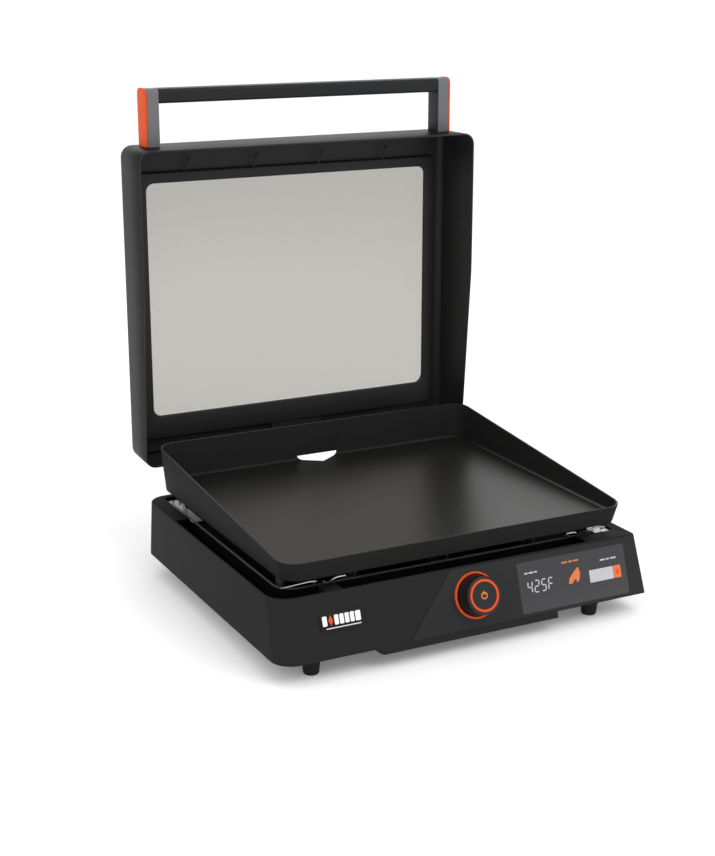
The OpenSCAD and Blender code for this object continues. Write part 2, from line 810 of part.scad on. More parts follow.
module handle_screws() color([0.7, 0.7, 0.71]) {
    for (side = [-1, 1], y = [256, 268])
        translate([side * post_x, y, hood_top - sheet - 0.1]) rotate([180, 0, 0])
            screw(screw_head, 2.4, screw_d, 20);
}

place() base_housing();
place() corner_deck();
place() bottom_cover();
place() control_fascia();
place() display_lens();
place() display_module();
place() control_board();
place() encoder_body();
place() encoder_plunger();
place() encoder_shaft();
place() knob();
place() knob_face_ring();
place() dial_light_ring();
place() badge();
place() reflector_tray();
place() corner_shields();
place() heating_element();
place() element_brackets();
place() element_terminals();
place() plate_supports();
place() spring_clips();
place() griddle_plate();
place() temperature_probe();
place() thermal_cutout();
place() power_board();
place() power_inlet();
place() grease_chute();
place() grease_cup();
place() cup_rails();
place() foot(foot_xs[0], foot_front);  // foot_front_left
place() foot(foot_xs[1], foot_front);  // foot_front_right
place() foot(foot_xs[0], foot_rear);  // foot_rear_left
place() foot(foot_xs[1], foot_rear);  // foot_rear_right
place() foot_screws();
place() cover_screws();
place() hinge_bracket(-1);  // hinge_bracket_left
place() hinge_bracket(1);  // hinge_bracket_right
place() hinge_pin(-1);  // hinge_pin_left
place() hinge_pin(1);  // hinge_pin_right
place() hinge_leaf(-1);  // hinge_leaf_left
place() hinge_leaf(1);  // hinge_leaf_right
place() bracket_screws();
place() leaf_screws();
place() hood_shell();
place() window_gasket();
place() window_glass();
place() window_retainer();
place() retainer_screws();
place() hood_end_rail();
place() handle_bar();
place() handle_post(-1);  // handle_post_left
place() handle_post(1);  // handle_post_right
place() handle_cap(-1);  // handle_cap_left
place() handle_cap(1);  // handle_cap_right
place() handle_screws();
place() hood_bumpers();
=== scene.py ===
"""Electric griddle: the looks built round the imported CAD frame."""
import math

import bmesh
import bpy
from mathutils import Matrix, Vector


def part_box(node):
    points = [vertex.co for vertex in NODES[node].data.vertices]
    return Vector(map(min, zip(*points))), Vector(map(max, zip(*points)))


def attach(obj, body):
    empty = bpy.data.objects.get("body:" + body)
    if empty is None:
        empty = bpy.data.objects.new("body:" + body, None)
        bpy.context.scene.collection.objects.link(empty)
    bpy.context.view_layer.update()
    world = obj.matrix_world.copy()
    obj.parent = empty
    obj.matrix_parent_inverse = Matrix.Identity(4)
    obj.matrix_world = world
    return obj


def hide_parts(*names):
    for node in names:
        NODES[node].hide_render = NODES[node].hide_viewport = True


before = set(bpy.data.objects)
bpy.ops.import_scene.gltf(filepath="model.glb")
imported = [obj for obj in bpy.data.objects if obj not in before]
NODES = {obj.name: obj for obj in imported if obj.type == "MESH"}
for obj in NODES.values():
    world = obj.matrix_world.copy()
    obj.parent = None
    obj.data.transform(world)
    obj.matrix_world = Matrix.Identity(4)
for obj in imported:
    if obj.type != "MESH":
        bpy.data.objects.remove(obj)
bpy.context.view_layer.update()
MM = 0.001
PAST = 10 * MM  # how far a cutting tool runs past the face it opens
FAR = 300 * MM  # beyond the object on any side


# ---------------------------------------------------------------- sizes, from the frame
BASE_LO, BASE_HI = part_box("base_housing")
PLATE_LO, PLATE_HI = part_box("griddle_plate")
HOOD_LO, HOOD_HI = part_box("hood_shell")
TRAY_LO, TRAY_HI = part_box("reflector_tray")
GLASS_LO, GLASS_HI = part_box("window_glass")
RETAINER_LO, RETAINER_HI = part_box("window_retainer")
LENS_LO, LENS_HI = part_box("display_lens")
BAR_LO, BAR_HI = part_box("handle_bar")

FRONT_Y = BASE_LO.y
SIDE_DRAFT = 4 * MM
FRONT_SET = 25.5 * MM
WALL = 2.5 * MM
CORNER_R = 28 * MM
CHIN = 8 * MM
SHARP_R = 3 * MM
PANEL_TILT = math.atan2(FRONT_SET, BASE_HI.z - BASE_LO.z)
PANEL_LENGTH = (BASE_HI.z - BASE_LO.z) / math.cos(PANEL_TILT)
PANEL = Matrix.Translation((0, FRONT_Y, BASE_LO.z)) @ Matrix.Rotation(math.pi / 2 - PANEL_TILT, 4, "X")
FASCIA_T = 0.9 * MM
RING_OUT = 3.5 * MM
FRAME_TOP = HOOD_HI.z - 40 * MM
HOOD_DEEP = HOOD_HI.y - HOOD_LO.y
HOOD_SHALLOW = 70 * MM
HOOD_KINK = HOOD_HI.z - 201 * MM
SHEET = 1.6 * MM
WINDOW_W = 440 * MM
WINDOW_H = 333 * MM
WINDOW_Z = (GLASS_LO.z + GLASS_HI.z) / 2


# ---------------------------------------------------------------- mesh helpers
def new_object(name, bm, smooth=35):
    """Turns a bmesh into a linked object, smooth except across edges sharper than the angle."""
    bmesh.ops.recalc_face_normals(bm, faces=bm.faces)
    mesh = bpy.data.meshes.new(name)
    bm.to_mesh(mesh)
    bm.free()
    mesh.shade_smooth()
    mesh.set_sharp_from_angle(angle=math.radians(smooth))
    obj = bpy.data.objects.new(name, mesh)
    bpy.context.scene.collection.objects.link(obj)
    return obj


def outline(x0, x1, y0, y1, radii, arc=8, side=1):
    """Points round a rounded rectangle, with radii at left-front, right-front, right-rear, left-rear."""
    if isinstance(radii, float):
        radii = [radii] * 4
    corners = [(x0, y0, 1, 1, 180), (x1, y0, -1, 1, 270), (x1, y1, -1, -1, 0), (x0, y1, 1, -1, 90)]
    arcs = []
    for (x, y, sx, sy, start), r in zip(corners, radii):
        cx, cy = x + sx * r, y + sy * r
        turns = [math.radians(start + 90 * k / arc) for k in range(arc + 1)]
        arcs.append([(cx + r * math.cos(t), cy + r * math.sin(t)) for t in turns])
    points = []
    for here, after in zip(arcs, arcs[1:] + arcs[:1]):
        points += here
        a, b = Vector(here[-1]), Vector(after[0])
        points += [tuple(a.lerp(b, k / side)) for k in range(1, side)]
    return points


def loft(name, rings, cap_first=True, cap_last=True, smooth=35):
    """Skin over rings of equally many points, optionally closed by a face at each end."""
    bm = bmesh.new()
    rows = [[bm.verts.new(p) for p in ring] for ring in rings]
    for low, high in zip(rows, rows[1:]):
        for k in range(len(low)):
            n = (k + 1) % len(low)
            bm.faces.new((low[k], low[n], high[n], high[k]))
    if cap_first:
        bm.faces.new(rows[0][::-1])
    if cap_last:
        bm.faces.new(rows[-1])
    return new_object(name, bm, smooth)


def prism(name, points, depth, matrix, start=0.0, smooth=35):
    """A flat outline given thickness along the local Z of a frame."""
    low = [matrix @ Vector((x, y, start)) for x, y in points]
    high = [matrix @ Vector((x, y, start + depth)) for x, y in points]
    return loft(name, [low, high], smooth=smooth)


def lathe(name, profile, matrix, steps=72, closed=True):
    """Turns a (radius, height) profile about the local Z of a frame."""
    rings = []
    for k in range(steps):
        t = math.tau * k / steps
        rings.append([matrix @ Vector((r * math.cos(t), r * math.sin(t), h)) for r, h in profile])
    bm = bmesh.new()
    rows = [[bm.verts.new(p) for p in ring] for ring in rings]
    last = len(profile) if closed else len(profile) - 1
    for k in range(steps):
        a, b = rows[k], rows[(k + 1) % steps]
        for j in range(last):
            n = (j + 1) % len(profile)
            bm.faces.new((a[j], b[j], b[n], a[n]))
    bmesh.ops.remove_doubles(bm, verts=bm.verts, dist=1e-7)
    return new_object(name, bm)


def tube(name, points, diameter, bevel_steps=4):
    """A bent wire through the points."""
    curve = bpy.data.curves.new(name, "CURVE")
    curve.dimensions = "3D"
    curve.bevel_depth = diameter / 2
    curve.bevel_resolution = bevel_steps
    curve.use_fill_caps = True
    spline = curve.splines.new("BEZIER")
    spline.bezier_points.add(len(points) - 1)
    for bp, p in zip(spline.bezier_points, points):
        bp.co = p
        bp.handle_left_type = bp.handle_right_type = "AUTO"
    obj = bpy.data.objects.new(name, curve)
    bpy.context.scene.collection.objects.link(obj)
    return bake(obj)


def bake(obj):
    """Replaces an object's data with its evaluated mesh, so that no modifier is left on it."""
    bpy.context.view_layer.update()
    mesh = bpy.data.meshes.new_from_object(obj.evaluated_get(bpy.context.evaluated_depsgraph_get()))
    if obj.type == "MESH":
        obj.modifiers.clear()
        obj.data = mesh
        return obj
    name = obj.name
    bpy.data.objects.remove(obj)
    baked = bpy.data.objects.new(name, mesh)
    bpy.context.scene.collection.objects.link(baked)
    mesh.shade_smooth()
    return baked


def combine(obj, tool, how="DIFFERENCE"):
    """One boolean step, after which the tool is gone."""
    step = obj.modifiers.new("cut", "BOOLEAN")
    step.operation = how
    step.object = tool
    step.solver = "EXACT"
    bake(obj)
    bpy.data.objects.remove(tool)
    return obj


def soften(obj, width, steps=2, angle=35):
    """Rounds the sharp edges."""
    bevel = obj.modifiers.new("bevel", "BEVEL")
    bevel.width = width
    bevel.segments = steps
    bevel.limit_method = "ANGLE"
    bevel.angle_limit = math.radians(angle)
    bevel.use_clamp_overlap = True
    bake(obj)
    obj.data.shade_smooth()
    obj.data.set_sharp_from_angle(angle=math.radians(50))
    return obj


def block(name, low, high):
    """A plain box, used only as a cutting tool."""
    ring = outline(low[0], high[0], low[1], high[1], 0.01 * MM, arc=1)
    return loft(name, [[(x, y, z) for x, y in ring] for z in (low[2], high[2])])


def join(name, parts):
    """Several loose pieces as one object."""
    bm = bmesh.new()
    for part in parts:
        bm.from_mesh(part.data)
        bpy.data.objects.remove(part)
    return new_object(name, bm, 50)


# ---------------------------------------------------------------- materials
def material(name, colour, rough, metal=0.0, grain=0.0, grain_mm=0.5, vary=0.08, coat=0.0, specular=0.5):
    """A surface with a fine grain in its bump and a slow drift in its colour and roughness."""
    mat = bpy.data.materials.new(name)
    mat.use_nodes = True
    nodes, links = mat.node_tree.nodes, mat.node_tree.links
    shader = nodes["Principled BSDF"]
    shader.inputs["Metallic"].default_value = metal
    shader.inputs["Coat Weight"].default_value = coat
    shader.inputs["Coat Roughness"].default_value = 0.08
    shader.inputs["Specular IOR Level"].default_value = specular
    place = nodes.new("ShaderNodeTexCoord")

    def noise(scale, detail):
        node = nodes.new("ShaderNodeTexNoise")
        node.inputs["Scale"].default_value = scale
        node.inputs["Detail"].default_value = detail
        links.new(place.outputs["Object"], node.inputs["Vector"])
        return node

    drift = noise(9.0, 3.0)
    tone = nodes.new("ShaderNodeMix")
    tone.data_type = "RGBA"
    tone.inputs["A"].default_value = (*[c * (1 - vary) for c in colour], 1)
    tone.inputs["B"].default_value = (*[min(1, c * (1 + vary)) for c in colour], 1)
    links.new(drift.outputs["Fac"], tone.inputs["Factor"])
    links.new(tone.outputs["Result"], shader.inputs["Base Color"])
    sheen = nodes.new("ShaderNodeMapRange")
    sheen.inputs["To Min"].default_value = max(0.02, rough * (1 - vary))
    sheen.inputs["To Max"].default_value = min(1.0, rough * (1 + vary))
    links.new(drift.outputs["Fac"], sheen.inputs["Value"])
    links.new(sheen.outputs["Result"], shader.inputs["Roughness"])
    if grain:
        fine = noise(1.0 / (grain_mm * MM), 2.0)
        bump = nodes.new("ShaderNodeBump")
        bump.inputs["Strength"].default_value = grain
        bump.inputs["Distance"].default_value = 0.1 * MM
        links.new(fine.outputs["Fac"], bump.inputs["Height"])
        links.new(bump.outputs["Normal"], shader.inputs["Normal"])
    return mat


def glass_material():
    """Bronze-tinted heat-proof glass."""
    mat = material("window_tint", (0.13, 0.10, 0.025), 0.25, vary=0.02, specular=0.2)
    mat.node_tree.nodes["Principled BSDF"].inputs["Alpha"].default_value = 0.38
    return mat


def glow_material(name, colour, strength):
    """A printed mark on the display or knob, with a faint glow: painted light, as the mark is no lamp."""
    mat = material(name, colour, 0.4, vary=0.05)
    shader = mat.node_tree.nodes["Principled BSDF"]
    shader.inputs["Emission Color"].default_value = (*colour, 1)
    shader.inputs["Emission Strength"].default_value = strength
    return mat


SHELL = material("base_plastic", (0.0195, 0.0195, 0.02), 0.55, grain=0.25, grain_mm=0.35, specular=0.03)
# Near-black painted shade for the base's trough; the hood's rubber plugs also use it as their own black.
SHADE = material("painted_shade_and_plug_black", (0.003, 0.003, 0.003), 0.85, grain=0.2, grain_mm=0.4, specular=0.05)
FASCIA = material("panel_plastic", (0.018, 0.018, 0.019), 0.45, grain=0.15, grain_mm=0.3, specular=0.14)
LENS = material("display_lens", (0.034, 0.033, 0.036), 0.22, vary=0.04, specular=0.35)
KNOB = material("knob_black", (0.009, 0.009, 0.010), 0.42, grain=0.1, grain_mm=0.3, specular=0.3)
PLATE_BLACK = material("name_plate_black", (0.004, 0.004, 0.004), 0.35, specular=0.2)
HOOD = material("hood_enamel", (0.0075, 0.0075, 0.008), 0.38, grain=0.2, grain_mm=0.6, specular=0.05)
# A lighter copy of the hood's dark steel: painted light on the hood's inner faces, and also the finish of the
# window frame and end rail.
LINER_AND_PAINTED_LIGHT = material("hood_liner_and_painted_light", (0.016, 0.0155, 0.016), 0.45, grain=0.2, grain_mm=0.6, specular=0.2)
NONSTICK = material("nonstick", (0.010, 0.0098, 0.0085), 0.30, grain=0.3, grain_mm=0.8, specular=0.42)
PLATE_WALL = material("plate_wall", (0.0135, 0.0135, 0.0132), 0.55, grain=0.35, grain_mm=0.7, specular=0.03)
ORANGE = material("orange_plastic", (0.66, 0.078, 0.015), 0.5, grain=0.05, specular=0.1)
GREY = material("post_grey", (0.13, 0.13, 0.135), 0.5, grain=0.1, specular=0.3)
BAR = material("bar_black", (0.016, 0.017, 0.018), 0.42, grain=0.15, grain_mm=0.4, specular=0.12)
ALUMINISED = material("aluminised", (0.72, 0.72, 0.73), 0.38, metal=0.9, grain=0.1, grain_mm=0.8)
# Near-black painted shade on the reflector tray down in the trough, in place of its metal.
TRAY_PAINTED_SHADE = material("tray_painted_shade", (0.004, 0.004, 0.004), 0.7, grain=0.2, grain_mm=0.8, specular=0.06)
# Lighter grey for the tray's rolled edge: painted light, the lit copy of the tray's metal beside its painted
# shade.
TRAY_EDGE_LIT = material("tray_edge_lit", (0.085, 0.085, 0.09), 0.45, grain=0.2, grain_mm=0.8, specular=0.3)
STEEL = material("bright_steel", (0.55, 0.55, 0.56), 0.30, metal=1.0, grain=0.05)
DARK_STEEL = material("dark_steel", (0.015, 0.015, 0.016), 0.45, metal=0.3, grain=0.1, specular=0.3)
SHEATH = material("element_sheath", (0.10, 0.10, 0.10), 0.45, metal=0.8, grain=0.2, grain_mm=0.6)
RUBBER = material("rubber", (0.010, 0.010, 0.010), 0.75, grain=0.3, grain_mm=0.5, specular=0.2)
CERAMIC = material("ceramic", (0.72, 0.70, 0.63), 0.5, grain=0.1)
BRASS = material("brass", (0.70, 0.50, 0.20), 0.32, metal=1.0, grain=0.05)
BOARD = material("circuit_board", (0.01, 0.09, 0.03), 0.35, vary=0.15, grain=0.05)
GLASS = glass_material()
WHITE_MARK = glow_material("white_mark", (0.46, 0.44, 0.48), 0.02)
ORANGE_MARK = glow_material("orange_mark", (0.62, 0.15, 0.035), 0.02)
BADGE_WHITE = material("badge_white", (0.80, 0.80, 0.80), 0.4, vary=0.03)


def wear(obj, mat, slot, body, *replaced):
    """Gives a new piece its material and body and hides the CAD nodes it stands for; its record slot is not
    used.
    """
    obj.data.materials.clear()
    obj.data.materials.append(mat)
    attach(obj, body)
    if replaced:
        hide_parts(*replaced)
    return obj


def repaint(mat, *names):
    """Gives CAD nodes that keep their own shape a new finish."""
    for name in names:
        NODES[name].data.materials.clear()
        NODES[name].data.materials.append(mat)


# ---------------------------------------------------------------- base
def base_ring(z, inset):
    """A ring round the base at a height: the sides lean in and the front leans back as it rises."""
    share = (z - BASE_LO.z) / (BASE_HI.z - BASE_LO.z)
    left = BASE_LO.x + SIDE_DRAFT * share + inset
    right = BASE_HI.x - SIDE_DRAFT * share - inset
    r = max(CORNER_R - inset, SHARP_R)
    ring = outline(left, right, FRONT_Y + FRONT_SET * share + inset, BASE_HI.y - inset, [r, SHARP_R, r, r])
    return [(x, y, z) for x, y in ring]


def base_shell():
    """The outer casing: rounded walls, a sunk trough and the deck that closes it at three places."""
    z0, z1 = BASE_LO.z, BASE_HI.z
    edge = 1.4 * MM
    rings = [base_ring(z0, 0.6 * MM), base_ring(z0 + 0.6 * MM, 0), base_ring(z1 - edge, 0)]
    for k in (1, 2, 3, 4):
        t = math.radians(22.5 * k)
        rings.append(base_ring(z1 - edge * (1 - math.sin(t)), edge * (1 - math.cos(t))))
    shell = loft("base_shell", rings)
    well = outline(TRAY_LO.x - 5 * MM, TRAY_HI.x + 12 * MM, TRAY_LO.y - 12 * MM, TRAY_HI.y + 2 * MM, 6 * MM)
    combine(shell, loft("well", [[(x, y, z) for x, y in well] for z in (z0 - PAST, z1 + PAST)]))
    combine(shell, loft("hollow", [base_ring(z, WALL) for z in (z0 - PAST, z1 - 28 * MM)]))
    trough = loft("trough", [base_ring(z1 - 25 * MM, WALL), base_ring(z1 + PAST, WALL)])
    right_end = 186 * MM
    rear_end = BASE_HI.y - 109 * MM
    limits = block("limits", (-FAR, -FAR, 0), (right_end, rear_end, FAR))
    combine(trough, limits, "INTERSECT")
    tab_left, tab_right = -189 * MM, -168 * MM
    combine(trough, block("tab", (tab_left, -FAR, 0), (tab_right, TRAY_LO.y - 4 * MM, FAR)))
    combine(shell, trough)
    notch = 34 * MM
    combine(shell, block("notch", (-notch, BASE_HI.y - 20 * MM, z1 - 14 * MM),
                         (notch, BASE_HI.y + PAST, z1 + PAST)))
    inlet_lo, inlet_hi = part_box("power_inlet")
    rim = 6 * MM
    through = 6 * MM
    combine(shell, block("inlet_hole", (inlet_lo.x + rim, BASE_HI.y - through, inlet_lo.z + rim),
                         (inlet_hi.x - rim, BASE_HI.y + through, inlet_hi.z - rim)))
    vents, vent_x, vent_pitch, vent_w, deep = 8, 162, 9, 4 * MM, 8 * MM
    for k in range(vents):
        x = (vent_x + vent_pitch * k) * MM
        combine(shell, block("vent", (x, BASE_HI.y - deep, z0 + 14 * MM),
                             (x + vent_w, BASE_HI.y + deep, z0 + 48 * MM)))
    soften(shell, 0.5 * MM)
    wear(shell, SHELL, "base_plastic", "base", "base_housing", "corner_deck")
    shell.data.materials.append(SHADE)
    middle = (BASE_LO + BASE_HI) / 2
    # Faces that face inward, or up, below the top (the trough and the hollow) take SHADE: painted shade.
    for face in shell.data.polygons:
        out = (face.center - middle) * Vector((1, 1, 0))
        if face.center.z < z1 - 2 * MM and (face.normal.z > 0.5 or face.normal.dot(out) < 0):
            face.material_index = 1
    return shell


def fascia():
    """The control panel's cover with its slanted left edge, and the chin that hangs below the base."""
    half = 126 * MM
    low, top = BASE_HI.x, PANEL_LENGTH - 2 * MM
    foot = 1.5 * MM
    points = [(-20 * MM, top), (-88 * MM, foot), (low - 4 * MM, foot), (low - SIDE_DRAFT - 3 * MM, top)]
    plate = prism("panel_cover", points, FASCIA_T - 0.1 * MM, PANEL, 0.1 * MM)
    soften(plate, 0.35 * MM, 3)
    wear(plate, FASCIA, "panel_black", "base", "control_fascia")
    drop, depth, slant = CHIN, 9 * MM, 9 * MM
    skirt = [(-half - slant, 3 * MM), (-half - slant, 0), (-half, -drop), (half, -drop), (half, 3 * MM)]
    chin = prism("panel_chin", skirt, depth + 0.3 * MM, PANEL, -depth)
    soften(chin, 0.6 * MM, 3)
    wear(chin, SHELL, "panel_black", "base")


LENS_X0, LENS_X1 = LENS_LO.x, LENS_HI.x
LENS_V0 = 5 * MM
LENS_V1 = 70 * MM
LENS_OUT = FASCIA_T + 0.35 * MM


def display():
    """The glossy window over the display."""
    pane = prism("display_window", outline(LENS_X0, LENS_X1, LENS_V0, LENS_V1, 3 * MM), 1.2 * MM, PANEL,
                 LENS_OUT - 1.2 * MM)
    soften(pane, 0.3 * MM, 2)
    return wear(pane, LENS, "lens_black", "base", "display_lens")


SEGMENTS = {
    "a": (0, 1, 1, 1), "b": (1, 0.5, 1, 1), "c": (1, 0, 1, 0.5), "d": (0, 0, 1, 0),
    "e": (0, 0, 0, 0.5), "f": (0, 0.5, 0, 1), "g": (0, 0.5, 1, 0.5),
}
DIGITS = ["bcfg", "abdeg", "acdfg", "aefg"]


def bar_shape(x0, y0, x1, y1, width):
    """Outline of a pointed segment between two points."""
    a, b = Vector((x0, y0)), Vector((x1, y1))
    along = (b - a).normalized()
    side = Vector((-along.y, along.x)) * width / 2
    tip = along * width / 2
    return [a, a + tip - side, b - tip - side, b, b - tip + side, a + tip + side]


def mark(name, points, mat, slot, lift=0.0):
    """A thin printed shape on the display window."""
    piece = prism(name, [tuple(p) for p in points], 0.12 * MM, PANEL, LENS_OUT + lift)
    return wear(piece, mat, slot, "base")


def digits():
    """Four seven-segment characters, leaning a little."""
    parts = []
    width, height, pitch, lean = 6.2 * MM, 14.5 * MM, 10.4 * MM, 0.12
    x0, v0 = 86 * MM, 30 * MM
    for k, lit in enumerate(DIGITS):
        for name in lit:
            ax, ay, bx, by = SEGMENTS[name]
            gap = 0.06
            dx, dy = (gap, 0) if ax != bx else (0, gap / 2)
            p = [(x0 + k * pitch + (u + lean * v * 2) * width, v0 + v * height)
                 for u, v in ((ax + dx, ay + dy), (bx - dx, by - dy))]
            shape = bar_shape(*p[0], *p[1], 1.6 * MM)
            parts.append(prism("segment", [tuple(q) for q in shape], 0.12 * MM, PANEL, LENS_OUT))
    return wear(join("display_digits", parts), WHITE_MARK, "badge_white", "base")


def flame():
    """A plain flame sign made of two leaning tongues."""
    x, v = 148 * MM, 31.5 * MM
    tongue = [(0, 0), (2, 7), (8, 13), (17, 20), (19, 12), (17, 3), (13, 0), (12, 5), (8, 3), (6, 0)]
    return mark("flame_sign", [(x + a * MM, v + b * MM) for a, b in tongue], ORANGE_MARK, "orange")


def gauge():
    """The level bar: a pale run with an orange end and a darker square in it."""
    x, v, length, height = 181 * MM, 27.5 * MM, 37 * MM, 16 * MM
    mark("level_bar", outline(x, x + length, v, v + height, 0.8 * MM, arc=3), WHITE_MARK, "badge_white")
    mark("level_end", outline(x + length + 0.5 * MM, x + 49 * MM, v, v + height, 0.8 * MM, arc=3),
         ORANGE_MARK, "orange")
    mark("level_stop", outline(x + 41 * MM, x + 46 * MM, v + 5 * MM, v + 11 * MM, 0.6 * MM, arc=3),
         ORANGE, "orange", 0.13 * MM)


def dashes(name, x, v, lengths, mat, slot):
    """A row of short strokes where a label would be."""
    parts = []
    for length in lengths:
        shape = outline(x, x + length * MM, v, v + 2.0 * MM, 0.6 * MM, arc=3)
        parts.append(prism("dash", shape, 0.12 * MM, PANEL, LENS_OUT))
        x += (length + 1.6) * MM
    return wear(join(name, parts), mat, slot, "base")


def badge():
    """A blank name plate: a dark tablet with pale strokes, an orange lozenge and a thin rule."""
    x0, x1, v0, v1 = -206 * MM, -145 * MM, 32.5 * MM, 55.5 * MM
    tablet = prism("name_plate", outline(x0, x1, v0, v1, 5 * MM), 1.0 * MM, PANEL, 0.1 * MM)
    soften(tablet, 0.4 * MM)
    wear(tablet, PLATE_BLACK, "knob_black", "base", "badge")
    top = 1.1 * MM
    parts = []
    for x, width in ((4, 6), (20, 5.5), (27, 5.5), (34, 5.5), (41, 5.5), (48, 7)):
        shape = outline(x0 + x * MM, x0 + (x + width) * MM, v0 + 7.5 * MM, v0 + 19.5 * MM, 1.2 * MM, arc=4)
        parts.append(prism("stroke", shape, 0.15 * MM, PANEL, top))
    rule = outline(x0 + 8 * MM, x1 - 6 * MM, v0 + 3.6 * MM, v0 + 4.6 * MM, 0.4 * MM, arc=3)
    parts.append(prism("rule", rule, 0.15 * MM, PANEL, top))
    wear(join("plate_strokes", parts), BADGE_WHITE, "badge_white", "base")
    cx, cv, r = x0 + 15 * MM, v0 + 13.5 * MM, 3.2 * MM
    lozenge = prism("plate_lozenge", [(cx - r, cv), (cx, cv - 2 * r), (cx + r, cv), (cx, cv + 2 * r)],
                    0.15 * MM, PANEL, top)
    wear(lozenge, ORANGE, "orange", "base")


# ---------------------------------------------------------------- knob
KNOB_X = 9.5 * MM
KNOB_V = 41.5 * MM
KNOB_AXIS = PANEL @ Matrix.Translation((KNOB_X, KNOB_V, 0))
KNOB_BASE = 4.7 * MM
KNOB_FACE = 24.6 * MM


def arc_profile(cx, cy, r, start, end, steps=5):
    """Points along an arc, with its ends in degrees."""
    turns = [math.radians(start + (end - start) * k / steps) for k in range(steps + 1)]
    return [(cx + r * math.cos(t), cy + r * math.sin(t)) for t in turns]


def knob():
    """The dial: a softly tapered drum with a groove for its ring and a dished face."""
    base, face = KNOB_BASE, KNOB_FACE
    r0, r1, lip = 25.4 * MM, 24.2 * MM, 2.4 * MM
    profile = [(3.1 * MM, base + 4 * MM), (22 * MM, base + 4 * MM), (22 * MM, base), (r0 - 0.5 * MM, base),
               (r0, base + 0.5 * MM), (r0 - 0.5 * MM, base + 12 * MM)]
    profile += arc_profile(r1 - lip, face - lip, lip, 8, 90)
    profile += [(20.8 * MM, face - 0.3 * MM), (20.4 * MM, face - 0.6 * MM), (17.2 * MM, face - 0.6 * MM),
                (16.8 * MM, face - 0.5 * MM), (12 * MM, face - 0.9 * MM), (0.0, face - 1.1 * MM)]
    profile += [(0.0, face - 6 * MM), (3.1 * MM, face - 6 * MM)]
    dial = lathe("dial_knob", profile, KNOB_AXIS, 96)
    return wear(dial, KNOB, "knob_black", "control_knob", "knob")


def ring_piece(name, inner, outer, low, high, mat, slot, body, *replaced):
    """A flat ring round the knob's axis with softened upper edges."""
    r = min(outer - inner, high - low) * 0.35
    profile = [(inner, low), (outer, low)]
    profile += arc_profile(outer - r, high - r, r, 0, 90, 4) + arc_profile(inner + r, high - r, r, 90, 180, 4)
    return wear(lathe(name, profile, KNOB_AXIS, 96), mat, slot, body, *replaced)


def knob_marks():
    """The rings on the knob and round it, and the power sign in its middle."""
    ring_piece("knob_ring", 17.4 * MM, 20.4 * MM, KNOB_FACE - 1.0 * MM, KNOB_FACE, ORANGE, "orange",
               "control_knob", "knob_face_ring")
    ring_piece("knob_power_ring", 3.0 * MM, 4.7 * MM, KNOB_FACE - 1.4 * MM, KNOB_FACE - 0.75 * MM,
               ORANGE_MARK, "orange", "control_knob")
    stroke = prism("knob_power_stroke", outline(-0.8 * MM, 0.8 * MM, 0.6 * MM, 5.6 * MM, 0.7 * MM, arc=4),
                   0.75 * MM, KNOB_AXIS, KNOB_FACE - 1.4 * MM)
    wear(stroke, ORANGE_MARK, "orange", "control_knob")
    ring_piece("dial_ring", 26.7 * MM, 29.6 * MM, FASCIA_T - 0.2 * MM, RING_OUT, ORANGE, "orange", "base",
               "dial_light_ring")


# ---------------------------------------------------------------- cooking plate
RIM_FRONT = PLATE_LO.z + 25 * MM
RIM_REAR = PLATE_HI.z
FLOOR_TOP = 10 * MM


def rim_height(y):
    """Height of the plate's rim above its skirt, which rises to the rear along its sides."""
    start, end = PLATE_LO.y + 12 * MM, PLATE_HI.y - 16 * MM
    share = min(1.0, max(0.0, (y - start) / (end - start)))
    return RIM_FRONT + (RIM_REAR - RIM_FRONT) * share - PLATE_LO.z


def plate_ring(inset, height=None, below=0.0, flare=5 * MM, r=26 * MM):
    """A ring drawn in by inset, at a height over the skirt or a depth below the rim, flaring upwards."""
    def at(d):
        corner = max(r - inset * 0.8, 8 * MM)
        return outline(PLATE_LO.x + d, PLATE_HI.x - d, PLATE_LO.y + d, PLATE_HI.y - d, corner, side=10)
    ring = []
    for top, low in zip(at(inset), at(inset + flare)):
        rim = rim_height(top[1])
        h = rim - below if height is None else height
        x, y = Vector(low).lerp(Vector(top), h / rim)
        ring.append((x, y, PLATE_LO.z + h))
    return ring


def quarter(steps=4):
    """Angles from nothing to a right angle, for rounding."""
    return [math.radians(90 * k / steps) for k in range(steps + 1)]


